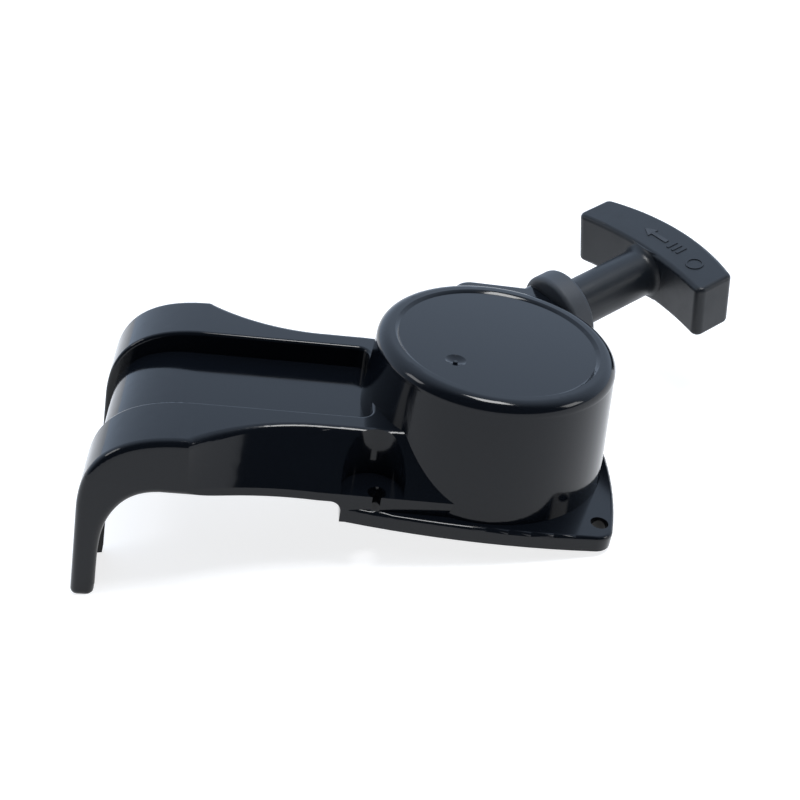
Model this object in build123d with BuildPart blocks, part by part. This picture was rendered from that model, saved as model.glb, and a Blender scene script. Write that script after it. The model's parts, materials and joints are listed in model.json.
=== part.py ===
from build123d import *
from math import cos, pi, radians, sin, sqrt, tan
import os

# Recoil starter for a small engine. Millimetres, +Z up.
# The origin is on the drum's axis, at the underside of the mounting flange.
# The two rails run towards -X and end in legs that hang below the flange.

os.makedirs("parts", exist_ok=True)

# ---- housing: drum -------------------------------------------------------------------------
WALL = 2.8                   # moulded wall
OUTER_EDGE, INNER_EDGE = 3.2, 1.6  # rounding of the rail tops, outside and along the channel
DRUM_R = 50.25               # drum wall just under the shoulder
DRUM_DRAFT = 5.6             # degrees, the wall widens downwards
DRUM_TOP = 60.9              # crest of the rounded rim
SHOULDER = 5.5               # radius of the rounded shoulder
SHOULDER_CUT = 0.27          # share of it that the rounding takes off the corner
RIM_WIDTH = 3.3              # from the shoulder's crest in to the disc
DISC_DROP = 1.0              # the disc lies this far below the crest
RIM_FOOT = 1.6               # width of the rim's inner slope
ROOF_SLOPE = 3.0             # the ceiling's corner inside is cut this wide
GATE_R, GATE_DEPTH, GATE_NUB = 4.3, 1.1, 0.9  # round dimple of the gate on the disc
GATE_AT = (-19.2, -17.9)

# ---- housing: flange and bolt holes --------------------------------------------------------
FLANGE_T = 7.0
FLANGE_LEDGE = 3.3           # flange past the drum's foot, at the middle of its far side
FLANGE_CORNER_IN = 5.1       # the far corners lie this far inside the drum's foot, along X
FLANGE_CORNER_OUT = 3.1      # and this far outside it, along Y
FLANGE_BACK = 5.2            # flange past the drum's foot, under the rails
FLANGE_BACK_IN = 3.9         # its near corners lie this far inside the foot, along Y
FLANGE_ROUND = 8.0
FLANGE_BULGE = (-5.0, 0.2)   # the long sides bow out to here, from the corners' line
FLANGE_EDGE = 1.5            # rounding of the flange's top edge
BOLT_HOLE_R = 3.75
BOLT_IN_X, BOLT_IN_Y = 8.6, 6.6  # the bolt lines lie this far inside the drum's foot
POCKET_R = 12.8              # screw pocket above the two bolts beside the rails
POCKET_BACK = 2.0            # its axis lies this far behind the bolt's

# ---- housing: rails, legs and the plate between them ---------------------------------------
RAIL_TOP = 35.3
RAIL_BOTTOM = 9.7
LIP_TOP = 13.6               # top of the band below the sloped sides, floor of the screw pockets
REACH = 163.4                # drum axis to the legs' outer face, at flange level
LEG_LEAN = 2.5               # the leg tips stand this much further out
LEG_DROP = 45.6              # leg tips below the flange
LEG_FOOT = 9.2               # leg depth at the tip
LEG_ROOT = 14.7              # leg depth at flange level
NOSE = 42.7                  # length of the curved nose of each rail
NOSE_SHAPE = (0.13, 0.37)    # a point of the nose's curve, back and down, as shares of its length
LEG_TAPER, LEG_HEEL = 0.8, 6.0  # the back of the leg leans this much over its lowest part
KNEE = 19.0                  # length of the curve between the leg's back and the rail's underside
LEG_Y = 55.8                 # outer side of the legs
LEG_DRAFT = 0.3              # the legs are this much wider below, each side
NARROW_X, NARROW_Y = -70.0, 36.5   # where the rail tops reach their narrow part
BAND_Y = 51.4                # outer side of the band along the rails
BAND_SPREAD = 1.0            # the band widens this much towards the drum
CHANNEL_Y = 26.8             # inner side of the rails
CHANNEL_CORNER = 5.0         # rounded corners of the channel beside the drum
FOOT_ROUND = 2.6             # rounding of the leg tips
STEP_ROUND = 4.5             # from the rails' underside down to the flange
PLATE_TOP = 25.0
PLATE_NOSE = 33.0            # length of the plate's curved end
PLATE_INSET = 3.2            # the plate's end wall stands this far behind the legs' face
END_WALL_DROP = 18.0         # the end wall between the legs reaches this far below the flange

# ---- rope line -----------------------------------------------------------------------------
ROPE_D = 4.5
WRAP_R = 28.1                # rope centre on the outer turn
ROPE_Z = 30.0                # height at which the rope leaves the reel
ROPE_PLAN = 31.3             # degrees from +X, seen from above
ROPE_RISE = 15.1             # degrees up
COLUMNS, LAYERS = 2, 4       # turns side by side and on each other
ROPE_START = 1.0             # the straight rope begins this far from the outer turn
ROPE_ROOM = 1.0              # between the leaving rope and the reel's upper flange
ROPE_PLAY = 0.15             # under the first turn; three times as much beside the turns
OUTER_GAP = 50.0             # degrees of the outer turn left free past the rope
PULL = 850.0                 # travel of the handle

# ---- rope outlet ---------------------------------------------------------------------------
BOSS_OUT = 6.25              # the boss's face, past the drum's radius, along the rope
COLLAR_GAP = 1.2
COLLAR_DEPTH = 12.1          # from the boss's face to the collar's rim
COLLAR_R = 19.5
NECK_R = 10.5
SEAT_DEPTH = 6.0             # the stem sits this deep in the collar
EYELET_R, EYELET_BORE_R = 6.0, 3.3
BOSS_R = 17.0
BOSS_TOP = 57.2
BOSS_CORNER, BOSS_EDGE = 8.5, 2.4
BOSS_LEFT, BOSS_BACK = 13.3, 8.6  # left side; back wall past the drum
BOSS_TAPER = 2.5             # the back wall's right end lies this much nearer
COLLAR_EDGE = 2.2
NECK_LENGTH = 10.0           # of the collar's neck, inside the boss's face
EYELET_LIP, EYELET_LIP_T, EYELET_ROUND = 2.5, 1.8, 1.2

# ---- handle --------------------------------------------------------------------------------
STEM_R = 11.4
STEM_LENGTH = 45.4           # collar rim to the bar
FLARE = 4.0
BAR_LENGTH, BAR_HEIGHT, BAR_END = 84.4, 26.8, 20.4
BAR_BOW_IN, BAR_BOW_OUT = 5.2, 8.1
BAR_CORNER, BAR_EDGE = 3.5, 2.2
KNOT_R, KNOT_LENGTH = 5.2, 8.0
KNOT_ROUND, REEL_KNOT_ROUND = 2.4, 1.8
REEL_KNOT_OUT = 2.2          # the reel's knot stands this far above its flange
KNOT_WASHER_T = 1.5
PLUG_T, PLUG_EDGE = 3.0, 0.8
STEM_EDGE = 0.8
BORE_PLAY = 0.5              # rope in the handle's bore

# ---- reel and spring -----------------------------------------------------------------------
POST_R = 7.0
BUSH_T = 1.2
REEL_R = 34.0
REEL_FLANGE_T = 2.6
REEL_BOSS_T = 3.8            # lower flange, which carries the pawl pins
HUB_WALL = 2.6
SPRING_WIDTH, STRIP_T, SPRING_TURNS = 9.0, 0.6, 10
SPRING_R = 31.4
CASE_T = 1.0
COVER_T = 0.8
SPRING_ROOM = 0.5            # above and below the spring, and outside its last turn
HOOK_DEPTH, HOOK_SLOT = 2.0, 3.0  # slot in the hub that takes the spring's inner hook
SPRING_IN = 1.2              # first turn of the spring, past the hub
EARS, EAR_R, EAR_START = 3, 5.0, 200.0  # screw ears of the spring's case
SCREW_R, SCREW_LENGTH, SCREW_HEAD_T = 1.6, 9.0, 1.8
SCREW_HEAD = 1.8             # head's radius, in shank radii
CASE_BORE, COVER_BORE = 3.0, 1.5  # holes of the case and its cover, past the post and the hub

# ---- pawls and drive plate -----------------------------------------------------------------
PAWL_PIVOT_R = 27.0
PAWL_T = 4.8
PAWL_LENGTH = 15.7
PAWL_ROOT_R, PAWL_TIP_R = 5.2, 2.8
PAWL_REST = -22.5            # degrees, from the tangent at the pivot
PAWL_SWING = 38.0            # degrees outwards
PAWL_START = 90.0            # degrees, where the first pawl's pivot stands
PIN_SEAT = 3.3
PAWL_SPRING_SEAT = 2.2
PLATE_RIM = 2.2              # metal left round each slot of the drive plate
PIN_R, PIN_HEAD_R, PIN_HEAD_T = 3.0, 4.2, 1.0
PEG_R, PEG_REACH, PEG_ROOT = 1.6, 7.0, 0.5
PLATE_SHIFT = 25.0           # degrees that the plate turns against the reel
DRIVE_PLATE_T = 2.0
SLEEVE_R = 5.0
BOLT_R = 3.0
INSERT_R, INSERT_LENGTH = 4.6, 20.0
BOLT_HEAD_AF, BOLT_HEAD_T = 10.0, 4.8
BOLT_WASHER_R, BOLT_WASHER_T, THRUST_T = 9.5, 1.2, 1.0
WASHER_LIP = 1.6             # thrust washer, past the reel's hub
FRICTION_IN, FRICTION_OUT = 1.0, 2.6  # friction spring, past the sleeve

# ---- clearances ----------------------------------------------------------------------------
RUN = 0.06                   # radial, shaft in hole
FIT = 0.05                   # radial, pieces seated in each other
GAP = 0.3                    # between pieces that move past each other
PEG_PLAY = 0.4
SCREW_PLAY = 0.2
NEAR = 0.1                   # between pieces that rest on each other

# ---- derived ------------------------------------------------------------------------------
disc_r = DRUM_R - SHOULDER - RIM_WIDTH
disc_z = DRUM_TOP - DISC_DROP
gate_ball = (GATE_R ** 2 + GATE_DEPTH ** 2) / (2 * GATE_DEPTH)
ceiling = disc_z - WALL
foot_r = DRUM_R + (DRUM_TOP - SHOULDER - FLANGE_T) * tan(radians(DRUM_DRAFT))
bolt_x, bolt_y = foot_r - BOLT_IN_X, foot_r - BOLT_IN_Y
pocket_centres = [(-bolt_x - POCKET_BACK, bolt_y), (-bolt_x - POCKET_BACK, -bolt_y)]
nose_x = NOSE - REACH
rope_r = ROPE_D / 2
layer_step = ROPE_D * 0.87
core_r = WRAP_R - (LAYERS - 1) * layer_step - rope_r - ROPE_PLAY
groove_bottom = ROPE_Z - rope_r - 3 * ROPE_PLAY
rope_climb = sqrt(REEL_R ** 2 - WRAP_R ** 2) * tan(radians(ROPE_RISE))
groove_top = ROPE_Z + rope_climb + rope_r / cos(radians(ROPE_RISE)) + ROPE_ROOM
reel_bottom = groove_bottom - REEL_BOSS_T
reel_top = groove_top + REEL_FLANGE_T
bush_r = POST_R + BUSH_T
hub_bore_r = bush_r + RUN
spring_top = ceiling - CASE_T - SPRING_ROOM
spring_bottom = spring_top - SPRING_WIDTH
hub_r = hub_bore_r + HUB_WALL
cover_top = spring_bottom - SPRING_ROOM
post_end = reel_bottom + 2 * GAP
washer_r = hub_r + WASHER_LIP
pawl_top = reel_bottom - 2 * GAP
pawl_bottom = pawl_top - PAWL_T
plate_top = pawl_bottom - GAP - PIN_HEAD_T - GAP - GAP
plate_bottom = plate_top - DRIVE_PLATE_T
bolt_washer_top = plate_bottom - NEAR
boss_face = DRUM_R + BOSS_OUT  # distances along the rope, from where it leaves the reel
collar_rim = boss_face + COLLAR_DEPTH
boss_back = DRUM_R + BOSS_BACK
neck_start = boss_face - NECK_LENGTH
boss_start = 20.0             # the round part of the boss begins inside the drum
stem_start = collar_rim - SEAT_DEPTH + GAP
bar_at = collar_rim + STEM_LENGTH
bar_depth = BAR_END + BAR_BOW_OUT - BAR_BOW_IN
knot_at = bar_at + bar_depth - PLUG_T - 4 * GAP - KNOT_LENGTH - KNOT_WASHER_T
knot_room = KNOT_R + 2 * PEG_PLAY
knot_pocket_x = (hub_r + REEL_R) / 2

plan = radians(ROPE_PLAN)
rise = radians(ROPE_RISE)
across = Vector(-sin(plan), cos(plan), 0)
along = Vector(cos(plan) * cos(rise), sin(plan) * cos(rise), sin(rise))
leave_point = across * WRAP_R + Vector(0, 0, ROPE_Z)
# Local frame of the rope: X across (level, along the handle's bar), Y up, Z along the rope.
rope_frame = Plane(origin=leave_point, x_dir=across, z_dir=along)
rope_line = Axis(rope_frame.origin, rope_frame.z_dir)
rope_up = Axis(rope_frame.origin, rope_frame.y_dir)


def rope_section(distance):
    """Plane across the rope at a distance from where it leaves the reel."""
    return rope_frame.offset(distance)


def tube(plane, outer, inner, length):
    """Plain ring on a plane."""
    with BuildPart() as ring:
        with BuildSketch(plane):
            Circle(outer)
            Circle(inner, mode=Mode.SUBTRACT)
        extrude(amount=length)
    return ring.part


# ---- housing -------------------------------------------------------------------------------
rail_bow = (nose_x - NARROW_X) ** 2 / (2 * (LEG_Y - NARROW_Y)) + (LEG_Y - NARROW_Y) / 2
bow_x = (nose_x + NARROW_X) / 2
bow_y = NARROW_Y + rail_bow - sqrt(rail_bow ** 2 - (bow_x - NARROW_X) ** 2)


def cover_plan(z, inset, narrow, tip, end_y, middle):
    """Outline of the rails seen from above, at one height."""
    far = -REACH - 3 * WALL
    with BuildSketch(Plane.XY.offset(z)) as outline:
        with BuildLine():
            Polyline((0, 0), (far, 0), (far, tip - inset), (nose_x, tip - inset))
            ThreePointArc((nose_x, tip - inset), (middle[0], middle[1] - inset), (NARROW_X, narrow - inset))
            Polyline((NARROW_X, narrow - inset), (0, end_y - inset), (0, 0))
        make_face()
        mirror(about=Plane.XZ)
    return outline.sketch


def cover_block(inset):
    """Rails as a block with their sloped sides, open to any height."""
    low = cover_plan(LIP_TOP, inset, BAND_Y, LEG_Y + LEG_DRAFT, BAND_Y + BAND_SPREAD,
                     (bow_x, BAND_Y + BAND_SPREAD / 5))
    high = cover_plan(RAIL_TOP, inset, NARROW_Y, LEG_Y, NARROW_Y, (bow_x, bow_y))
    with BuildPart() as block:
        add(low)
        add(high)
        loft(ruled=True)
        extrude(low, amount=-(LIP_TOP + LEG_DROP + WALL), dir=(0, 0, 1))
    return block.part


def nose_line(top, face_x, curve, drop, lean):
    """Side outline from the top surface, round the nose and down the leg."""
    start = (face_x + curve, top)
    end = (face_x, 0)
    with BuildLine() as line:
        Line((0, top), start)
        Spline(start, (face_x + curve * NOSE_SHAPE[0], top - curve * NOSE_SHAPE[1]), end,
               tangents=((-1, 0), (-0.08, -1)))
        Line(end, (face_x - lean, -drop))
    return line.line


outer_line = nose_line(RAIL_TOP, -REACH, NOSE, LEG_DROP, LEG_LEAN)
plate_line = nose_line(PLATE_TOP, -REACH + PLATE_INSET, PLATE_NOSE, LEG_DROP, LEG_LEAN)
root_x = -REACH + LEG_ROOT
foot_x = -REACH - LEG_LEAN + LEG_FOOT
back_x, back_y = -foot_r - FLANGE_BACK, foot_r - FLANGE_BACK_IN
knee = (root_x + KNEE, RAIL_BOTTOM)
heel = (foot_x + LEG_TAPER, LEG_HEEL - LEG_DROP)

with BuildPart() as rails:
    with BuildSketch(Plane.XZ) as side:
        with BuildLine():
            add(outer_line)
            Polyline(outer_line @ 1, (foot_x, -LEG_DROP), heel)
            Spline(heel, (root_x, -1), knee, tangents=((0.05, 1), (1, 0)))
            Line(knee, (back_x - STEP_ROUND, RAIL_BOTTOM))
            RadiusArc((back_x - STEP_ROUND, RAIL_BOTTOM), (back_x, RAIL_BOTTOM - STEP_ROUND), STEP_ROUND)
            Polyline((back_x, RAIL_BOTTOM - STEP_ROUND), (back_x, 0), (0, 0), (0, RAIL_TOP))
        make_face()
        fillet(side.vertices().sort_by(Axis.Y)[:2], FOOT_ROUND)
    extrude(amount=LEG_Y + WALL, both=True)
    add(cover_block(0), mode=Mode.INTERSECT)

with BuildPart() as drum_body:
    with BuildSketch(Plane.XZ) as drum_side:
        with BuildLine():
            Polyline((0, 0), (foot_r, 0), (foot_r, FLANGE_T), (DRUM_R, DRUM_TOP - SHOULDER))
            ThreePointArc((DRUM_R, DRUM_TOP - SHOULDER),
                          (DRUM_R - SHOULDER * SHOULDER_CUT, DRUM_TOP - SHOULDER * SHOULDER_CUT),
                          (DRUM_R - SHOULDER, DRUM_TOP))
            rim_in = (disc_r + RIM_FOOT, DRUM_TOP)
            Line((DRUM_R - SHOULDER, DRUM_TOP), rim_in)
            ThreePointArc(rim_in, (disc_r + RIM_FOOT * 0.31, disc_z + DISC_DROP * 0.4), (disc_r, disc_z))
            Polyline((disc_r, disc_z), (0, disc_z), (0, 0))
        make_face()
    revolve(axis=Axis.Z)

with BuildPart() as drum_void:
    with BuildSketch(Plane.XZ):
        with BuildLine():
            inner_top = DRUM_R - WALL
            Polyline((0, -1), (foot_r - WALL + 0.1, -1), (foot_r - WALL, FLANGE_T),
                     (inner_top, DRUM_TOP - SHOULDER - 1), (inner_top - ROOF_SLOPE, ceiling), (0, ceiling), (0, -1))
        make_face()
    revolve(axis=Axis.Z)

corner_x, corner_y = foot_r - FLANGE_CORNER_IN, foot_r + FLANGE_CORNER_OUT
bulge_y = corner_y + FLANGE_BULGE[1]
with BuildPart() as flange:
    with BuildSketch():
        with BuildLine():
            ThreePointArc((corner_x, -corner_y), (foot_r + FLANGE_LEDGE, 0), (corner_x, corner_y))
            ThreePointArc((corner_x, corner_y), (FLANGE_BULGE[0], bulge_y), (back_x, back_y))
            Line((back_x, back_y), (back_x, -back_y))
            ThreePointArc((back_x, -back_y), (FLANGE_BULGE[0], -bulge_y), (corner_x, -corner_y))
        make_face()
    extrude(amount=FLANGE_T)
    fillet(flange.edges().filter_by(Axis.Z).sort_by(Axis.X)[-2:], FLANGE_ROUND)
    fillet(flange.faces().sort_by(Axis.Z)[-1].edges(), FLANGE_EDGE)

with BuildPart() as outlet_boss:
    with BuildSketch() as boss_plan:
        Polygon((-BOSS_LEFT, 40), (-BOSS_LEFT, boss_back), (46, boss_back - BOSS_TAPER), (60, 38), (30, 10),
                align=None)
        fillet(boss_plan.vertices().sort_by(Axis.Y)[-1], BOSS_CORNER)
    extrude(amount=BOSS_TOP)
    with BuildSketch(rope_section(boss_start)):
        Circle(BOSS_R)
    extrude(amount=boss_face - boss_start + WALL)
    with BuildSketch(rope_section(boss_face)):
        Rectangle(200, 200)
    extrude(amount=60, mode=Mode.SUBTRACT)
    with BuildSketch(Plane.XY.offset(BOSS_TOP)):
        Rectangle(300, 300)
    extrude(amount=30, mode=Mode.SUBTRACT)
    fillet(outlet_boss.faces().sort_by(Axis.Z)[-1].edges(), BOSS_EDGE)
    with BuildSketch():
        Circle(DRUM_R - SHOULDER)
    extrude(amount=DRUM_TOP, mode=Mode.SUBTRACT)

with BuildPart() as boss_void:
    with BuildSketch(Plane.XY.offset(-1)):
        Polygon((WALL - BOSS_LEFT, 35), (2 * WALL - BOSS_LEFT, boss_back - WALL),
                (38, boss_back - BOSS_TAPER - WALL), (46, 42), (30, 14), align=None)
    extrude(amount=BOSS_TOP - WALL + 1)
    with BuildSketch(rope_section(boss_face - WALL - 1)):
        Rectangle(200, 200)
    extrude(amount=60, mode=Mode.SUBTRACT)

rail_inner = nose_line(RAIL_TOP - WALL, -REACH + WALL, NOSE - WALL, LEG_DROP + WALL, LEG_LEAN)
plate_inner = nose_line(PLATE_TOP - WALL, -REACH + PLATE_INSET + WALL, PLATE_NOSE - WALL,
                        LEG_DROP, LEG_LEAN)


def above_plate(line, half_width):
    """Space above the plate and in front of its curved end, between the rails."""
    with BuildPart() as space:
        with BuildSketch(Plane.XZ):
            with BuildLine():
                add(line)
                far = -REACH - 20
                Polyline(line @ 1, (far, -LEG_DROP - 5), (far, RAIL_TOP + 5), (0, RAIL_TOP + 5), line @ 0)
            make_face()
        extrude(amount=half_width, both=True)
    return space.part


with BuildPart() as channel:
    add(above_plate(plate_line, CHANNEL_Y))
    with Locations((-DRUM_R, 0, 0)):
        Box(2 * DRUM_R, 4 * CHANNEL_Y, 4 * RAIL_TOP, mode=Mode.SUBTRACT,
            align=(Align.MIN, Align.CENTER, Align.CENTER))
    fillet(channel.edges().filter_by(Axis.Z).sort_by(Axis.X)[-2:], CHANNEL_CORNER)
    add(drum_body.part, mode=Mode.SUBTRACT)
    with Locations((-REACH + 4, 0, -END_WALL_DROP)):
        Box(40, 2 * CHANNEL_Y, 60, align=(Align.CENTER, Align.CENTER, Align.MAX))

with BuildPart() as rail_void:
    with BuildSketch(Plane.XZ):
        with BuildLine():
            add(rail_inner)
            Polyline(rail_inner @ 1, (20, -LEG_DROP - WALL), (20, RAIL_TOP - WALL), (0, RAIL_TOP - WALL))
        make_face()
    extrude(amount=LEG_Y + 5, both=True)
    add(cover_block(WALL), mode=Mode.INTERSECT)
    add(above_plate(plate_inner, CHANNEL_Y + WALL), mode=Mode.SUBTRACT)
    # box-section inner walls of the two legs
    for side_sign in (1, -1):
        with Locations((-REACH - 10, side_sign * CHANNEL_Y, RAIL_TOP)):
            Box(10 + LEG_ROOT + 2, WALL, RAIL_TOP + LEG_DROP + 5, mode=Mode.SUBTRACT,
                align=(Align.MIN, Align.MIN if side_sign > 0 else Align.MAX, Align.MAX))
    # the drum's outside and the screw bosses stay
    with BuildSketch(Plane.XZ):
        Polygon((0, -LEG_DROP - 9), (foot_r, -LEG_DROP - 9), (foot_r, FLANGE_T), (DRUM_R, DRUM_TOP),
                (0, DRUM_TOP), align=None)
    revolve(axis=Axis.Z, mode=Mode.SUBTRACT)
    with BuildSketch(Plane.XY.offset(-LEG_DROP - 9)):
        with Locations(*pocket_centres):
            Circle(POCKET_R + WALL)
    extrude(amount=100, mode=Mode.SUBTRACT)

with BuildPart() as starter_housing:
    add(rails.part)
    fillet(starter_housing.edges().filter_by(lambda e: abs(e.center().Z - RAIL_TOP) < 8
           and abs(e.center().Y) > NARROW_Y - 1 and e.center().X > -150), OUTER_EDGE)
    add(drum_body.part)
    add(flange.part)
    add(outlet_boss.part)
    add(channel.part, mode=Mode.SUBTRACT)
    add(rail_void.part, mode=Mode.SUBTRACT)
    add(drum_void.part, mode=Mode.SUBTRACT)
    add(boss_void.part, mode=Mode.SUBTRACT)
    # screw pockets and bolt holes
    with BuildSketch(Plane.XY.offset(LIP_TOP)):
        with Locations(*pocket_centres):
            Circle(POCKET_R)
    extrude(amount=60, mode=Mode.SUBTRACT)
    with BuildSketch(Plane.XY.offset(-1)):
        with GridLocations(2 * bolt_x, 2 * bolt_y, 2, 2):
            Circle(BOLT_HOLE_R)
    extrude(amount=LIP_TOP + 2, mode=Mode.SUBTRACT)
    with BuildSketch(rope_section(boss_face - 20)):
        Circle(NECK_R + FIT)
    extrude(amount=40, mode=Mode.SUBTRACT)
    # dimple of the gate, with its nub
    with Locations((*GATE_AT, disc_z + gate_ball - GATE_DEPTH)):
        Sphere(gate_ball, mode=Mode.SUBTRACT)
    with Locations((*GATE_AT, disc_z - GATE_DEPTH)):
        Cylinder(GATE_NUB, GATE_DEPTH)
    # centre post with its blind bore for the threaded insert
    with BuildSketch(Plane.XY.offset(post_end)):
        Circle(POST_R)
    extrude(amount=ceiling - post_end + 0.5)
    # bore for the threaded insert
    with BuildSketch(Plane.XY.offset(post_end - 1)):
        Circle(INSERT_R + FIT)
    extrude(amount=INSERT_LENGTH + 2, mode=Mode.SUBTRACT)
    # rounded edges of the rail tops along the channel, round the nose too
    fillet(starter_housing.edges().filter_by(lambda e: abs(abs(e.center().Y) - CHANNEL_Y) < 0.01
           and e.center().Z > RAIL_TOP - 0.01), INNER_EDGE)
starter_housing.part.label = "starter_housing"
export_step(starter_housing.part, "parts/starter_housing.step")

# ---- rope outlet ---------------------------------------------------------------------------
with BuildPart() as rope_outlet_collar:
    with BuildSketch(rope_section(boss_face + COLLAR_GAP)):
        Circle(COLLAR_R)
    extrude(amount=collar_rim - boss_face - COLLAR_GAP)
    fillet(rope_outlet_collar.edges().filter_by(GeomType.CIRCLE), COLLAR_EDGE)
    with BuildSketch(rope_section(neck_start)):
        Circle(NECK_R)
    extrude(amount=boss_face + COLLAR_GAP - neck_start + 2)
    with BuildSketch(rope_section(collar_rim - SEAT_DEPTH)):
        Circle(STEM_R + 2 * GAP)
    extrude(amount=SEAT_DEPTH + 1, mode=Mode.SUBTRACT)
    with BuildSketch(rope_section(neck_start - 1)):
        Circle(EYELET_R + FIT)
    extrude(amount=collar_rim, mode=Mode.SUBTRACT)
rope_outlet_collar.part.label = "rope_outlet_collar"
export_step(rope_outlet_collar.part, "parts/rope_outlet_collar.step")

with BuildPart() as rope_eyelet:
    with BuildSketch(rope_section(neck_start)):
        Circle(EYELET_R)
    extrude(amount=collar_rim - SEAT_DEPTH - neck_start - 0.5)
    with BuildSketch(rope_section(neck_start)):
        Circle(EYELET_R + EYELET_LIP)
    extrude(amount=-EYELET_LIP_T)
    with BuildSketch(rope_section(neck_start - 2 * EYELET_LIP_T)):
        Circle(EYELET_BORE_R)
    extrude(amount=collar_rim, mode=Mode.SUBTRACT)
    fillet(rope_eyelet.edges().filter_by(GeomType.CIRCLE).filter_by(
        lambda e: abs(e.radius - EYELET_BORE_R) < 0.01), EYELET_ROUND)
rope_eyelet.part.label = "rope_eyelet"
export_step(rope_eyelet.part, "parts/rope_eyelet.step")

# ---- handle --------------------------------------------------------------------------------
bar_plane = Plane(origin=rope_section(bar_at).origin, x_dir=rope_frame.x_dir, z_dir=rope_frame.y_dir)
half_bar = BAR_LENGTH / 2

flare_end = bar_at + 0.5
with BuildPart() as stem:
    # flares into the bar, no higher than the bar
    with BuildSketch(Plane(origin=rope_frame.origin, x_dir=rope_frame.z_dir, z_dir=rope_frame.y_dir)):
        with BuildLine():
            Polyline((flare_end, 0), (stem_start, 0), (stem_start, STEM_R - STEM_EDGE),
                     (stem_start + STEM_EDGE, STEM_R), (flare_end - FLARE, STEM_R))
            RadiusArc((flare_end - FLARE, STEM_R), (flare_end, STEM_R + FLARE), -FLARE)
            Line((flare_end, STEM_R + FLARE), (flare_end, 0))
        make_face()
    revolve(axis=rope_line)
    with BuildSketch(bar_plane):
        Rectangle(BAR_LENGTH, 300)
    extrude(amount=BAR_HEIGHT / 2 - GAP, both=True, mode=Mode.INTERSECT)

with BuildPart() as handle_grip:
    # seen from above the bar: X across the rope, Y back along the rope
    with BuildSketch(bar_plane):
        with BuildLine():
            ThreePointArc((-half_bar, BAR_BOW_IN), (0, 0), (half_bar, BAR_BOW_IN))
            Line((half_bar, BAR_BOW_IN), (half_bar, BAR_BOW_IN - BAR_END))
            ThreePointArc((half_bar, BAR_BOW_IN - BAR_END), (0, -bar_depth),
                          (-half_bar, BAR_BOW_IN - BAR_END))
            Line((-half_bar, BAR_BOW_IN - BAR_END), (-half_bar, BAR_BOW_IN))
        make_face()
    extrude(amount=BAR_HEIGHT / 2, both=True)
    fillet(handle_grip.edges().filter_by(lambda e: e.geom_type == GeomType.LINE
           and abs(e.length - BAR_HEIGHT) < 0.01), BAR_CORNER)
    fillet(handle_grip.faces().sort_by(rope_up)[-1].edges()
           + handle_grip.faces().sort_by(rope_up)[0].edges(), BAR_EDGE)
    add(stem.part)
    # rope bore, knot chamber and seat of the plug
    with BuildSketch(rope_section(stem_start - 1)):
        Circle(rope_r + BORE_PLAY)
    extrude(amount=200, mode=Mode.SUBTRACT)
    with BuildSketch(rope_section(knot_at)):
        Circle(knot_room)
    extrude(amount=100, mode=Mode.SUBTRACT)
handle_grip.part.label = "handle_grip"
export_step(handle_grip.part, "parts/handle_grip.step")

handle_plug_at = bar_at + bar_depth - PLUG_T - 2 * GAP
with BuildPart() as handle_plug:
    with BuildSketch(rope_section(handle_plug_at)):
        Circle(knot_room - FIT)
    extrude(amount=PLUG_T)
    fillet(handle_plug.edges().sort_by(rope_line)[-1], PLUG_EDGE)
handle_plug.part.label = "handle_plug"
export_step(handle_plug.part, "parts/handle_plug.step")

knot_washer = tube(rope_section(knot_at + NEAR), knot_room - RUN, rope_r + GAP, KNOT_WASHER_T)
knot_washer.label = "knot_washer"
export_step(knot_washer, "parts/knot_washer.step")

with BuildPart() as handle_knot:
    with BuildSketch(rope_section(knot_at + KNOT_WASHER_T + 2 * NEAR)):
        Circle(KNOT_R)
    extrude(amount=KNOT_LENGTH)
    fillet(handle_knot.edges(), KNOT_ROUND)
handle_knot.part.label = "handle_knot"
export_step(handle_knot.part, "parts/handle_knot.step")

# ---- rope ----------------------------------------------------------------------------------
run_length = knot_at + KNOT_WASHER_T + 2 * NEAR - ROPE_START
with BuildPart() as rope_run:
    with BuildSketch(rope_section(ROPE_START)):
        Circle(rope_r)
    extrude(amount=run_length)
rope_run.part.label = "rope_run"
export_step(rope_run.part, "parts/rope_run.step")

wound_r = WRAP_R - rope_r - GAP
leave_angle = 90 + ROPE_PLAN


def edge_end(angle):
    """Far end of a cutting line from the axis."""
    return (2 * REEL_R * cos(radians(angle)), 2 * REEL_R * sin(radians(angle)))


with BuildPart() as rope_coil:
    with BuildSketch(Plane.XY.offset(ROPE_Z - rope_r)):
        Circle(wound_r)
        Circle(core_r + NEAR, mode=Mode.SUBTRACT)
    extrude(amount=COLUMNS * ROPE_D)
    # outer turn, cut off where the rope leaves it
    with BuildSketch(Plane.XY.offset(ROPE_Z - rope_r)):
        Circle(WRAP_R + rope_r)
        Circle(wound_r - NEAR, mode=Mode.SUBTRACT)
        with BuildLine():
            PolarLine((0, 0), 2 * REEL_R, leave_angle + 1)
            PolarLine((0, 0), 2 * REEL_R, leave_angle - OUTER_GAP)
            Line(edge_end(leave_angle + 1), edge_end(leave_angle - OUTER_GAP))
        make_face(mode=Mode.SUBTRACT)
    extrude(amount=ROPE_D)
rope_coil.part.label = "rope_coil"
export_step(rope_coil.part, "parts/rope_coil.step")

wound_length = 2 * pi * (WRAP_R + COLUMNS * sum(WRAP_R - (i + 1) * layer_step for i in range(LAYERS - 1)))
print("rope wound", round(wound_length), "run", round(run_length), "pull", PULL)

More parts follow.
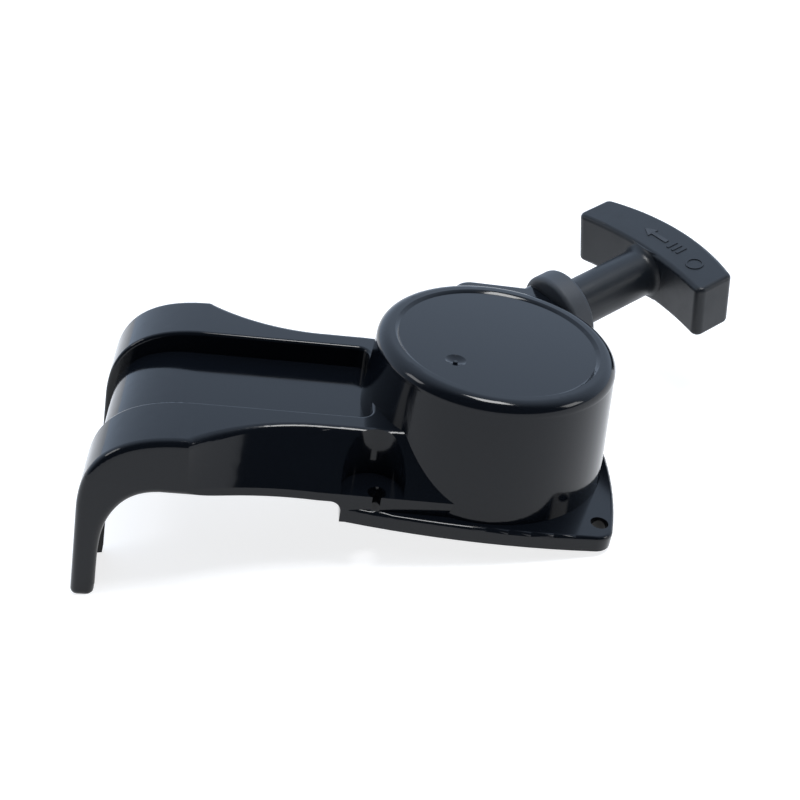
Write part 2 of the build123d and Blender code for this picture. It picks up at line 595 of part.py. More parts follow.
# ---- reel ----------------------------------------------------------------------------------
hub_foot = post_end + 2 * GAP - FIT
with BuildPart() as reel:
    with BuildSketch(Plane.XZ):
        with BuildLine():
            Polyline((hub_bore_r, hub_foot), (washer_r + GAP, hub_foot), (washer_r + GAP, reel_bottom),
                     (REEL_R, reel_bottom), (REEL_R, groove_bottom), (core_r, groove_bottom),
                     (core_r, groove_top), (REEL_R, groove_top), (REEL_R, reel_top),
                     (hub_r, reel_top), (hub_r, spring_top), (hub_bore_r, spring_top), close=True)
        make_face()
    revolve(axis=Axis.Z)
    # pocket of the rope's knot
    with BuildSketch(Plane.XY.offset(groove_top - 1)):
        with Locations((-knot_pocket_x, 0)):
            Circle(KNOT_R + GAP)
    extrude(amount=10, mode=Mode.SUBTRACT)
    # slot that the spring's inner end hooks into
    with BuildSketch(Plane.XY.offset(spring_bottom - SPRING_ROOM)):
        with Locations((hub_r, 0)):
            Rectangle(2 * HOOK_DEPTH, HOOK_SLOT)
    extrude(amount=SPRING_WIDTH + 2, mode=Mode.SUBTRACT)
    # seats of the pawl pins and pockets of their springs
    with BuildSketch(Plane.XY.offset(reel_bottom)):
        with PolarLocations(PAWL_PIVOT_R, 2, start_angle=PAWL_START):
            Circle(PIN_R + FIT)
    extrude(amount=PIN_SEAT, mode=Mode.SUBTRACT)
    with BuildSketch(Plane.XY.offset(reel_bottom)):
        with PolarLocations(PAWL_PIVOT_R, 2, start_angle=PAWL_START):
            Circle(PAWL_ROOT_R)
    extrude(amount=PAWL_SPRING_SEAT, mode=Mode.SUBTRACT)
reel.part.label = "reel"
export_step(reel.part, "parts/reel.step")

bush_foot = post_end + 2 * GAP
reel_bush = tube(Plane.XY.offset(bush_foot), bush_r, POST_R + FIT, spring_top - bush_foot)
reel_bush.label = "reel_bush"
export_step(reel_bush, "parts/reel_bush.step")

with BuildPart() as reel_knot:
    with BuildSketch(Plane.XY.offset(groove_top - 1 + FIT)):
        with Locations((-knot_pocket_x, 0)):
            Circle(KNOT_R)
    extrude(amount=REEL_FLANGE_T + REEL_KNOT_OUT)
    fillet(reel_knot.edges(), REEL_KNOT_ROUND)
reel_knot.part.label = "reel_knot"
export_step(reel_knot.part, "parts/reel_knot.step")

# ---- recoil spring and its case ------------------------------------------------------------
spring_inner_r = hub_r + SPRING_IN
coil_pitch = (SPRING_R - spring_inner_r) / SPRING_TURNS
with BuildPart() as recoil_spring:
    with BuildSketch(Plane.XY.offset(spring_bottom)):
        with BuildLine():
            hook = (spring_inner_r, 0)
            Line((hub_r - HOOK_DEPTH + STRIP_T, 0), hook)
            for half_turn in range(2 * SPRING_TURNS):
                side_sign = 1 if half_turn % 2 == 0 else -1
                near = spring_inner_r + half_turn * coil_pitch / 2
                far = near + coil_pitch / 2
                middle = (side_sign * (near - far) / 2, side_sign * (near + far) / 2)
                ThreePointArc((side_sign * near, 0), middle, (-side_sign * far, 0))
        trace(line_width=STRIP_T)
    extrude(amount=SPRING_WIDTH)
recoil_spring.part.label = "recoil_spring"
export_step(recoil_spring.part, "parts/recoil_spring.step")

case_r = SPRING_R + 3 * SPRING_ROOM
ear_at = case_r + CASE_T + EAR_R - 1
with BuildPart() as spring_case:
    with BuildSketch(Plane.XY.offset(cover_top)):
        Circle(case_r + CASE_T)
    extrude(amount=ceiling - cover_top)
    with BuildSketch(Plane.XY.offset(cover_top)):
        Circle(case_r)
    extrude(amount=ceiling - cover_top - CASE_T, mode=Mode.SUBTRACT)
    with BuildSketch(Plane.XY.offset(cover_top)):
        with PolarLocations(ear_at, EARS, start_angle=EAR_START):
            Circle(EAR_R)
        Circle(case_r + CASE_T / 2, mode=Mode.SUBTRACT)
    extrude(amount=CASE_T)
    with BuildSketch(Plane.XY.offset(cover_top - 1)):
        Circle(POST_R + CASE_BORE)
        with PolarLocations(ear_at, EARS, start_angle=EAR_START):
            Circle(SCREW_R + SCREW_PLAY)
    extrude(amount=30, mode=Mode.SUBTRACT)
spring_case.part.label = "spring_case"
export_step(spring_case.part, "parts/spring_case.step")

with BuildPart() as spring_cover:
    with BuildSketch(Plane.XY.offset(cover_top)):
        Circle(case_r + CASE_T)
        with PolarLocations(ear_at, EARS, start_angle=EAR_START):
            Circle(EAR_R)
        Circle(hub_r + COVER_BORE, mode=Mode.SUBTRACT)
        with PolarLocations(ear_at, EARS, start_angle=EAR_START):
            Circle(SCREW_R + SCREW_PLAY, mode=Mode.SUBTRACT)
    extrude(amount=-COVER_T)
spring_cover.part.label = "spring_cover"
export_step(spring_cover.part, "parts/spring_cover.step")

with BuildPart() as cover_screws:
    with BuildSketch(Plane.XY.offset(cover_top - COVER_T - SCREW_HEAD_T)):
        with PolarLocations(ear_at, EARS, start_angle=EAR_START):
            Circle(SCREW_R * SCREW_HEAD)
    extrude(amount=SCREW_HEAD_T)
    with BuildSketch(Plane.XY.offset(cover_top - COVER_T)):
        with PolarLocations(ear_at, EARS, start_angle=EAR_START):
            Circle(SCREW_R)
    extrude(amount=SCREW_LENGTH)
cover_screws.part.label = "cover_screws"
export_step(cover_screws.part, "parts/cover_screws.step")

# ---- centre bolt and what it holds ---------------------------------------------------------
threaded_insert = tube(Plane.XY.offset(post_end), INSERT_R, BOLT_R + FIT, INSERT_LENGTH)
threaded_insert.label = "threaded_insert"
export_step(threaded_insert, "parts/threaded_insert.step")

thrust_washer = tube(Plane.XY.offset(post_end - THRUST_T), washer_r, BOLT_R + FIT, THRUST_T)
thrust_washer.label = "thrust_washer"
export_step(thrust_washer, "parts/thrust_washer.step")

sleeve_top = post_end - THRUST_T
bolt_sleeve = tube(Plane.XY.offset(bolt_washer_top), SLEEVE_R, BOLT_R + FIT, sleeve_top - bolt_washer_top)
bolt_sleeve.label = "bolt_sleeve"
export_step(bolt_sleeve, "parts/bolt_sleeve.step")

friction_spring = tube(Plane.XY.offset(plate_top + NEAR), SLEEVE_R + FRICTION_OUT,
                       SLEEVE_R + FRICTION_IN, sleeve_top - plate_top - 2 * NEAR)
friction_spring.label = "friction_spring"
export_step(friction_spring, "parts/friction_spring.step")

head_top = bolt_washer_top - BOLT_WASHER_T
bolt_washer = tube(Plane.XY.offset(head_top), BOLT_WASHER_R, BOLT_R + FIT, BOLT_WASHER_T)
bolt_washer.label = "bolt_washer"
export_step(bolt_washer, "parts/bolt_washer.step")

with BuildPart() as centre_bolt:
    with BuildSketch(Plane.XY.offset(head_top)):
        RegularPolygon(BOLT_HEAD_AF / 2, 6, major_radius=False)
    extrude(amount=-BOLT_HEAD_T)
    with BuildSketch(Plane.XY.offset(head_top)):
        Circle(BOLT_R)
    extrude(amount=post_end + INSERT_LENGTH - 2 - head_top)
centre_bolt.part.label = "centre_bolt"
export_step(centre_bolt.part, "parts/centre_bolt.step")

# ---- pawls and drive plate -----------------------------------------------------------------


def peg_path(share, start):
    """Where a pawl's peg stands, seen from the drive plate, over its travel."""
    turn = radians(start)
    swing = radians(start - 90 + PAWL_REST + share * PAWL_SWING)
    x = PAWL_PIVOT_R * cos(turn) + PEG_REACH * cos(swing)
    y = PAWL_PIVOT_R * sin(turn) + PEG_REACH * sin(swing)
    back = -radians(share * PLATE_SHIFT)
    return (x * cos(back) - y * sin(back), x * sin(back) + y * cos(back))


def pawl_at(start):
    """One pawl with its peg, pivoting on the reel."""
    turn = radians(start)
    ahead = radians(start - 90 + PAWL_REST)
    pivot = (PAWL_PIVOT_R * cos(turn), PAWL_PIVOT_R * sin(turn))
    tip = (pivot[0] + PAWL_LENGTH * cos(ahead), pivot[1] + PAWL_LENGTH * sin(ahead))
    with BuildPart() as pawl:
        with BuildSketch(Plane.XY.offset(pawl_bottom)):
            with Locations(pivot):
                Circle(PAWL_ROOT_R)
            with Locations(tip):
                Circle(PAWL_TIP_R)
            make_hull()
            with Locations(pivot):
                Circle(PIN_R + RUN, mode=Mode.SUBTRACT)
        extrude(amount=PAWL_T)
        with BuildSketch(Plane.XY.offset(pawl_bottom + PEG_ROOT)):
            with Locations(peg_path(0, start)):
                Circle(PEG_R)
        extrude(amount=-(pawl_bottom + PEG_ROOT - plate_bottom + PEG_PLAY))
    return pawl.part


def pin_at(start):
    """Headed pivot pin of a pawl."""
    turn = radians(start)
    pivot = (PAWL_PIVOT_R * cos(turn), PAWL_PIVOT_R * sin(turn))
    with BuildPart() as pin:
        with BuildSketch(Plane.XY.offset(pawl_bottom - GAP)):
            with Locations(pivot):
                Circle(PIN_R)
        extrude(amount=reel_bottom + PIN_SEAT - pawl_bottom + GAP)
        with BuildSketch(Plane.XY.offset(pawl_bottom - GAP - PIN_HEAD_T)):
            with Locations(pivot):
                Circle(PIN_HEAD_R)
        extrude(amount=PIN_HEAD_T)
    return pin.part


for name, start in (("a", PAWL_START), ("b", PAWL_START + 180)):
    pawl = pawl_at(start)
    pawl.label = "pawl_" + name
    export_step(pawl, "parts/pawl_" + name + ".step")
    pin = pin_at(start)
    pin.label = "pawl_pin_" + name
    export_step(pin, "parts/pawl_pin_" + name + ".step")
    turn = radians(start)
    seat = Plane(origin=(PAWL_PIVOT_R * cos(turn), PAWL_PIVOT_R * sin(turn), reel_bottom + NEAR))
    coil = tube(seat, PAWL_ROOT_R - PEG_PLAY, PIN_R + PEG_PLAY, PAWL_SPRING_SEAT - GAP)
    coil.label = "pawl_spring_" + name
    export_step(coil, "parts/pawl_spring_" + name + ".step")

with BuildPart() as drive_plate:
    with BuildSketch(Plane.XY.offset(plate_bottom)):
        for start in (PAWL_START, PAWL_START + 180):
            for share in (0, 0.5, 1):
                with Locations(peg_path(share, start)):
                    Circle(PEG_R + PEG_PLAY + PLATE_RIM)
        Circle(washer_r)
        make_hull()
        for start in (PAWL_START, PAWL_START + 180):
            with BuildLine():
                slot = ThreePointArc(peg_path(0, start), peg_path(0.5, start), peg_path(1, start))
            SlotArc(slot, 2 * (PEG_R + PEG_PLAY), mode=Mode.SUBTRACT)
        Circle(SLEEVE_R + RUN, mode=Mode.SUBTRACT)
    extrude(amount=DRIVE_PLATE_T)
drive_plate.part.label = "drive_plate"
export_step(drive_plate.part, "parts/drive_plate.step")
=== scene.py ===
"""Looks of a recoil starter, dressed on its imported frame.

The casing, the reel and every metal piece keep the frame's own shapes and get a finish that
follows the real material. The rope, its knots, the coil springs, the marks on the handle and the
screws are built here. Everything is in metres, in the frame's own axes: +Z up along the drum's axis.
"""

from __future__ import annotations

import json
import logging
import math
from dataclasses import dataclass, field
from enum import Enum
from typing import Any, Optional, Sequence

import bpy
import numpy as np
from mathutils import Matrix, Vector

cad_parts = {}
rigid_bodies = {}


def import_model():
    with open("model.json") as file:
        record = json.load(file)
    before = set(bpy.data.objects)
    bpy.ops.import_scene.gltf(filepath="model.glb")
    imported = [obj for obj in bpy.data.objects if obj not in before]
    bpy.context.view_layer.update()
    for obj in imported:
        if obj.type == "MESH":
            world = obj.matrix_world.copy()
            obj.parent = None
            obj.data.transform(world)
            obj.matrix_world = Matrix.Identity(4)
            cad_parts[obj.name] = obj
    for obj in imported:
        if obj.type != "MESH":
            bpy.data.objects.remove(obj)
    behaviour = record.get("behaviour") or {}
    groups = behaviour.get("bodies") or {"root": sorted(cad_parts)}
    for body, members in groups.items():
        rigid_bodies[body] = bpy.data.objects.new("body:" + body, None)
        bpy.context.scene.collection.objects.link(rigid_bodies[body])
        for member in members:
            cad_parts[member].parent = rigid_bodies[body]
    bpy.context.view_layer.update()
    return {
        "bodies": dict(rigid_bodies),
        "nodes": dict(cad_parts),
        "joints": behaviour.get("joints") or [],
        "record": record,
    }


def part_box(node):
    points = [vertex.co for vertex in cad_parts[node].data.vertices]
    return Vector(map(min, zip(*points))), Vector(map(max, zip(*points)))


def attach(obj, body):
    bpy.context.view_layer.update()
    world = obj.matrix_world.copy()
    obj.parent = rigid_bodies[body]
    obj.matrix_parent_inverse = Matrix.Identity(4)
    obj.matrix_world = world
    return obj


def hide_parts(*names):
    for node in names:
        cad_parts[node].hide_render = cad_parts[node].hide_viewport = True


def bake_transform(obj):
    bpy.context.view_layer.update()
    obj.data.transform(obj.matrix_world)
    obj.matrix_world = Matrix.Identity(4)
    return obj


LOG = logging.getLogger("recoil_starter")
MM = 0.001
SHARP_DEGREES = 35.0
OFF_AXIS = (0.13, 0.31, 0.94)  # a direction that no path here starts along
FULL_TURN = 2 * math.pi

Tree = bpy.types.NodeTree
Node = bpy.types.Node
Socket = bpy.types.NodeSocket
Piece = bpy.types.Object
Colour = tuple[float, float, float, float]
Spot = tuple[float, float, float]
Flat = tuple[float, float]


# ---- shader helpers ------------------------------------------------------------------------


def linear(hex_colour: str) -> Colour:
    """Turns an sRGB hex colour into a linear RGBA value.

    Args:
        hex_colour: Six hex digits after a hash sign.

    Returns:
        Linear red, green, blue and an alpha of one.
    """
    values = [int(hex_colour[i:i + 2], 16) / 255 for i in (1, 3, 5)]
    red, green, blue = (v / 12.92 if v <= 0.04045 else ((v + 0.055) / 1.055) ** 2.4 for v in values)
    return red, green, blue, 1.0


def per_mm(size_mm: float) -> float:
    """Texture scale that repeats once in a size given in millimetres."""
    return 1.0 / (size_mm * MM)


def add_node(
    tree: Tree,
    kind: str,
    settings: Optional[dict[str, Any]] = None,
    inputs: Optional[dict[Any, Any]] = None,
) -> Node:
    """Adds one shader node with its settings and links.

    Args:
        tree: The node tree to add to.
        kind: The node's type name, without its ShaderNode prefix.
        settings: Attribute names and values.
        inputs: Socket names or numbers, each with a value or with the output to link from.

    Returns:
        The new node.
    """
    made = tree.nodes.new("ShaderNode" + kind)
    for name, value in (settings or {}).items():
        setattr(made, name, value)
    for name, value in (inputs or {}).items():
        if isinstance(value, Socket):
            tree.links.new(value, made.inputs[name])
        else:
            made.inputs[name].default_value = value
    return made


# ---- finishes ------------------------------------------------------------------------------


@dataclass(frozen=True)
class Finish:
    """One finish: its material's name, colour and gloss. Subclasses add the surface pattern."""

    name: str
    colour: str
    roughness: float
    metallic: float = 0.0
    ior: float = 1.5

    def build(self) -> bpy.types.Material:
        """Makes the material, or returns it if it is there already.

        Returns:
            A material whose surface is one Principled shader with this finish's pattern.
        """
        found = bpy.data.materials.get(self.name)
        if found:
            return found
        material = bpy.data.materials.new(self.name)
        material.use_nodes = True
        tree = material.node_tree
        shader = tree.nodes["Principled BSDF"]
        shader.inputs["Base Color"].default_value = linear(self.colour)
        shader.inputs["Roughness"].default_value = self.roughness
        shader.inputs["Metallic"].default_value = self.metallic
        shader.inputs["IOR"].default_value = self.ior
        place = add_node(tree, "TexCoord").outputs["Object"]
        self.pattern(tree, shader, place)
        return material

    def pattern(self, tree: Tree, shader: Node, place: Socket) -> None:
        """Draws the finish's own pattern. The plain finish has none.

        Args:
            tree: The material's nodes.
            shader: Its Principled shader.
            place: Position in the piece's own frame, in metres.
        """

    def noise(
        self, tree: Tree, place: Socket, size_mm: float, detail: float = 3.0
    ) -> Socket:
        """Noise whose blotches have a size in millimetres.

        Args:
            tree: The material's nodes.
            place: Where the noise is read.
            size_mm: Size of its blotches.
            detail: How many finer layers it holds.

        Returns:
            The noise's value output.
        """
        return add_node(
            tree, "TexNoise", inputs={"Vector": place, "Scale": per_mm(size_mm), "Detail": detail}
        ).outputs["Fac"]

    def vary_roughness(
        self, tree: Tree, shader: Node, value: Socket, low: float, high: float
    ) -> None:
        """Spreads the roughness between two values.

        Args:
            tree: The material's nodes.
            shader: Its Principled shader.
            value: What the spread follows, from 0 to 1.
            low: Roughness where the value is low.
            high: Roughness where it is high.
        """
        spread = add_node(
            tree,
            "MapRange",
            inputs={"Value": value, "From Min": 0.3, "From Max": 0.7, "To Min": low, "To Max": high},
        )
        tree.links.new(spread.outputs["Result"], shader.inputs["Roughness"])

    def vary_colour(
        self, tree: Tree, shader: Node, value: Socket, other: str
    ) -> None:
        """Spreads the colour between the finish's own and another.

        Args:
            tree: The material's nodes.
            shader: Its Principled shader.
            value: What the spread follows, from 0 to 1.
            other: The other colour, in sRGB hex.
        """
        mix = add_node(
            tree,
            "Mix",
            {"data_type": "RGBA"},
            {"Factor": value, 6: linear(self.colour), 7: linear(other)},
        )
        tree.links.new(mix.outputs[2], shader.inputs["Base Color"])

    def bump(
        self, tree: Tree, shader: Node, height: Socket, depth_mm: float
    ) -> None:
        """Raises the surface by a height of so many millimetres.

        Args:
            tree: The material's nodes.
            shader: Its Principled shader.
            height: Height, from 0 to 1.
            depth_mm: How high 1 stands.
        """
        relief = {"Height": height, "Strength": 1.0, "Distance": depth_mm * MM}
        raised = add_node(tree, "Bump", inputs=relief)
        tree.links.new(raised.outputs["Normal"], shader.inputs["Normal"])


@dataclass(frozen=True)
class GlossMoulding(Finish):
    """Gloss ABS from a polished mould: deep black, a faint waviness and a few dull handling marks."""

    wave_mm: float = 12.0
    wave_depth_mm: float = 0.004
    smear_mm: float = 22.0

    def pattern(self, tree: Tree, shader: Node, place: Socket) -> None:
        """Mould waviness and smears that dull the gloss a little."""
        smears = self.noise(tree, place, self.smear_mm)
        self.vary_roughness(tree, shader, smears, self.roughness * 0.85, self.roughness * 1.2)
        self.bump(tree, shader, self.noise(tree, place, self.wave_mm, 1.0), self.wave_depth_mm)


@dataclass(frozen=True)
class SatinMoulding(Finish):
    """Glass-filled nylon from a spark-eroded mould: satin black with a fine even grain."""

    grain_mm: float = 0.7
    grain_depth_mm: float = 0.02
    patch_mm: float = 14.0
    worn: str = "#3A3C40"

    def pattern(self, tree: Tree, shader: Node, place: Socket) -> None:
        """Spark-eroded grain, drawn coarser than the real 0.1 mm so that it shows, and hand wear."""
        patch = self.noise(tree, place, self.patch_mm)
        self.vary_roughness(tree, shader, patch, self.roughness * 0.85, self.roughness * 1.15)
        edge = add_node(tree, "NewGeometry").outputs["Pointiness"]
        wear = add_node(
            tree,
            "MapRange",
            inputs={"Value": edge, "From Min": 0.53, "From Max": 0.62, "To Min": 0.0, "To Max": 0.5},
        )
        self.vary_colour(tree, shader, wear.outputs["Result"], self.worn)
        self.bump(tree, shader, self.noise(tree, place, self.grain_mm, 2.0), self.grain_depth_mm)


@dataclass(frozen=True)
class MouldedRubber(Finish):
    """Nitrile rubber from a plain mould: dull black with a bloom of dust in patches."""

    bloom: str = "#363A40"
    bloom_mm: float = 7.0
    skin_mm: float = 0.9
    skin_depth_mm: float = 0.02

    def pattern(self, tree: Tree, shader: Node, place: Socket) -> None:
        """Patches of bloom and a fine skin."""
        self.vary_colour(tree, shader, self.noise(tree, place, self.bloom_mm), self.bloom)
        self.bump(tree, shader, self.noise(tree, place, self.skin_mm, 2.0), self.skin_depth_mm)


@dataclass(frozen=True)
class WorkedMetal(Finish):
    """Metal as it comes from a press or a lathe: fine lines along one way and a patchy gloss."""

    line_mm: float = 0.35
    stain: str = "#8C8D90"
    stain_mm: float = 5.0
    line_depth_mm: float = 0.008
    streak: Spot = (1.0, 1.0, 12.0)

    def pattern(self, tree: Tree, shader: Node, place: Socket) -> None:
        """Tool lines, stretched along the streak, and stains."""
        self.vary_colour(tree, shader, self.noise(tree, place, self.stain_mm), self.stain)
        mapping = add_node(tree, "Mapping", inputs={"Vector": place, "Scale": self.streak})
        stretched = mapping.outputs["Vector"]
        lines = self.noise(tree, stretched, self.line_mm * 8, 4.0)
        self.vary_roughness(tree, shader, lines, self.roughness * 0.7, self.roughness * 1.4)
        self.bump(tree, shader, lines, self.line_depth_mm)


@dataclass(frozen=True)
class BraidedCord(Finish):
    """Braided nylon starter rope: fibres that catch the light unevenly and a little grime."""

    grime: str = "#8E8B84"
    grime_mm: float = 3.0
    fibre_mm: float = 0.4
    fibre_depth_mm: float = 0.03

    def pattern(self, tree: Tree, shader: Node, place: Socket) -> None:
        """Grime in blotches and the fine roughness of the fibres."""
        self.vary_colour(tree, shader, self.noise(tree, place, self.grime_mm), self.grime)
        self.bump(tree, shader, self.noise(tree, place, self.fibre_mm, 2.0), self.fibre_depth_mm)


class Stock(Enum):
    """The finishes in use."""

    CASING = GlossMoulding("gloss_abs_moulded", "#0A0D12", 0.1, ior=1.34)
    HANDLE = SatinMoulding("satin_nylon_moulded", "#13171C", 0.4, ior=1.38)
    REEL = SatinMoulding("acetal_moulded", "#2A2B2E", 0.38, grain_mm=1.2, worn="#4A4B4E")
    COLLAR = MouldedRubber("nitrile_rubber_moulded", "#2A2E33", 0.6)
    ZINC = WorkedMetal("zinc_plated_steel_pressed", "#B9BBBE", 0.34, 1.0, stain="#A3A39C")
    HARD_STEEL = WorkedMetal("hardened_steel_oiled", "#6E6C6A", 0.36, 1.0, stain="#4E4B48")
    SPRING_STEEL = WorkedMetal("spring_steel_blued", "#4A5468", 0.3, 1.0, stain="#3A3F4C")
    POLISHED = WorkedMetal("stainless_steel_polished", "#C9CACC", 0.16, 1.0, stain="#BDBEC0")
    BRONZE = WorkedMetal("bronze_sintered", "#A9773F", 0.48, 1.0, line_mm=0.2, stain="#7D5A34")
    BRASS = WorkedMetal("brass_machined", "#C79A4B", 0.28, 1.0, stain="#A88142")
    ROPE = BraidedCord("nylon_rope_braided", "#C9C6BC", 0.8)

    def dress(self, piece: Piece) -> Piece:
        """Gives a piece this finish alone.

        Args:
            piece: The mesh to dress.

        Returns:
            The same piece.
        """
        piece.data.materials.clear()
        piece.data.materials.append(self.value.build())
        return piece


# ---- studio --------------------------------------------------------------------------------


@dataclass
class Studio:
    """Pale floor, soft lights and the camera."""

    leg_tip: Vector
    flange_edge: Vector
    lens_mm: float = 56.95
    camera_at: Spot = (-0.0982, -0.4497, 0.3169)
    camera_turn: Spot = (57.102, -7.745, -2.830)
    floor_side: float = 60.0
    floor_colour: str = "#A9ABAE"
    floor_roughness: float = 0.7
    floor_glow: float = 0.8
    sky_colour: str = "#CFE2FB"
    sky_front: float = 0.08
    sky_back: float = 1.55

    def build(self) -> None:
        """Makes the floor, the sky, the lights and the camera."""
        self.make_camera()
        self.make_sky()
        self.make_floor()
        self.make_softbox("overhead_softbox", (0.02, -0.08, 1.1), (0.0, 0.0, 0.03), 0.34, 7.5)
        self.make_softbox("left_softbox", (-0.95, -0.1, 0.5), (-0.1, 0.0, 0.02), 0.3, 1.6)
        self.make_softbox("right_softbox", (0.9, -0.25, 0.55), (0.05, 0.0, 0.02), 0.3, 1.6)

    def make_camera(self) -> None:
        """Stands the camera in front, above and a little to the left."""
        lens = bpy.data.cameras.new("camera")
        lens.lens = self.lens_mm
        lens.sensor_width = 36.0
        camera = bpy.data.objects.new("camera", lens)
        camera.location = self.camera_at
        camera.rotation_euler = [math.radians(turn) for turn in self.camera_turn]
        bpy.context.scene.collection.objects.link(camera)
        bpy.context.scene.camera = camera

    def make_sky(self) -> None:
        """A pale sky that is darker in front of the part, as in a tent with an open side."""
        sky = bpy.data.worlds.new("studio_sky")
        bpy.context.scene.world = sky
        sky.use_nodes = True
        tree = sky.node_tree
        place = add_node(tree, "TexCoord").outputs["Generated"]
        split = add_node(tree, "SeparateXYZ", inputs={"Vector": place})
        shade = add_node(
            tree,
            "MapRange",
            {"interpolation_type": "SMOOTHSTEP"},
            {
                "Value": split.outputs["Y"],
                "From Min": -0.5,
                "From Max": 0.5,
                "To Min": self.sky_front,
                "To Max": self.sky_back,
            },
        )
        background = tree.nodes["Background"]
        background.inputs["Color"].default_value = linear(self.sky_colour)
        tree.links.new(shade.outputs["Result"], background.inputs["Strength"])

    def make_floor(self) -> None:
        """A pale floor through the leg tips and the flange's far edge, on which the part rests."""
        run = self.flange_edge - self.leg_tip
        tilt = -math.atan2(run.z, run.x)
        bpy.ops.mesh.primitive_grid_add(x_subdivisions=2, y_subdivisions=2, size=self.floor_side)
        floor = bpy.context.object
        floor.name = "floor"
        floor.rotation_euler = (0.0, tilt, 0.0)
        floor.location = self.leg_tip
        material = bpy.data.materials.new("paper_floor")
        material.use_nodes = True
        tree = material.node_tree
        shader = tree.nodes["Principled BSDF"]
        shader.inputs["Base Color"].default_value = linear(self.floor_colour)
        shader.inputs["Roughness"].default_value = self.floor_roughness
        shader.inputs["Emission Color"].default_value = linear("#FFFFFF")
        shader.inputs["Emission Strength"].default_value = self.floor_glow
        # seen from beneath, the floor is open, so that the part's underside can be looked at
        behind = add_node(tree, "NewGeometry").outputs["Backfacing"]
        clear = add_node(tree, "BsdfTransparent")
        sides = {0: behind, 1: shader.outputs["BSDF"], 2: clear.outputs["BSDF"]}
        mix = add_node(tree, "MixShader", inputs=sides)
        tree.links.new(mix.outputs["Shader"], tree.nodes["Material Output"].inputs["Surface"])
        floor.data.materials.append(material)

    def make_softbox(
        self,
        name: str,
        place: Spot,
        target: Spot,
        size: float,
        watts: float,
    ) -> None:
        """Hangs one square soft light.

        Args:
            name: The light's name.
            place: Where it hangs.
            target: What it faces.
            size: Its side, in metres.
            watts: Its power.
        """
        lamp = bpy.data.lights.new(name, "AREA")
        lamp.size = size
        lamp.energy = watts
        light = bpy.data.objects.new(name, lamp)
        light.location = place
        light.rotation_euler = (Vector(place) - Vector(target)).to_track_quat("Z", "Y").to_euler()
        bpy.context.scene.collection.objects.link(light)


# ---- the part's own pieces -----------------------------------------------------------------


@dataclass
class FramePieces:
    """Pieces that keep the frame's own shape, each with the finish it gets."""

    nodes: dict[str, Piece]
    finishes: dict[Stock, tuple[str, ...]] = field(
        default_factory=lambda: {
            Stock.CASING: ("starter_housing",),
            Stock.COLLAR: ("rope_outlet_collar",),
            Stock.HANDLE: ("handle_grip", "handle_plug"),
            Stock.POLISHED: ("rope_eyelet",),
            Stock.REEL: ("reel",),
            Stock.BRONZE: ("reel_bush",),
            Stock.BRASS: ("threaded_insert",),
            Stock.SPRING_STEEL: ("recoil_spring",),
            Stock.HARD_STEEL: ("pawl_a", "pawl_b", "pawl_pin_a", "pawl_pin_b", "bolt_sleeve"),
            Stock.ZINC: (
                "spring_case",
                "spring_cover",
                "thrust_washer",
                "bolt_washer",
                "drive_plate",
                "knot_washer",
            ),
        }
    )

    def build(self) -> None:
        """Dresses each node."""
        for finish, names in self.finishes.items():
            for name in names:
                finish.dress(self.nodes[name])
                LOG.info("%s: %s", name, finish.value.name)


# ---- shapes built here ---------------------------------------------------------------------


def mesh_piece(name: str, points: np.ndarray, faces: Sequence[Sequence[int]]) -> Piece:
    """Makes a smooth-shaded mesh piece.

    Args:
        name: The piece's name.
        points: Its vertices, in metres.
        faces: Vertex numbers of each face.

    Returns:
        The new piece, linked to the scene.
    """
    mesh = bpy.data.meshes.new(name)
    mesh.from_pydata([tuple(point) for point in points], [], [tuple(face) for face in faces])
    mesh.validate()
    mesh.update()
    mesh.polygons.foreach_set("use_smooth", [True] * len(mesh.polygons))
    mesh.set_sharp_from_angle(angle=math.radians(SHARP_DEGREES))
    piece = bpy.data.objects.new(name, mesh)
    bpy.context.scene.collection.objects.link(piece)
    return piece


def skin(rings: int, sides: int) -> list[list[int]]:
    """Faces of a closed tube made of rings of vertices, with an end face each side.

    Args:
        rings: How many rings there are.
        sides: How many vertices each ring holds.

    Returns:
        The faces, as vertex numbers.
    """
    faces = [
        [low + k, low + (k + 1) % sides, low + sides + (k + 1) % sides, low + sides + k]
        for low in range(0, (rings - 1) * sides, sides)
        for k in range(sides)
    ]
    faces.append(list(range(sides))[::-1])
    faces.append([(rings - 1) * sides + k for k in range(sides)])
    return faces


def braid_ripple(angles: np.ndarray, strands: int, lay: float, depth: float = 0.07) -> np.ndarray:
    """Rise and fall of crossing strands round a rope's section.

    Args:
        angles: Angles round the section.
        strands: How many strands run each way.
        lay: How far the strands have turned here.
        depth: The ripple's share of the radius.

    Returns:
        The change of the radius at each angle, as a share of it, never above zero.
    """
    ripple = depth * np.sin(strands * angles + lay) * np.sin(strands * angles - lay)
    return ripple - ripple.max(initial=0.0)


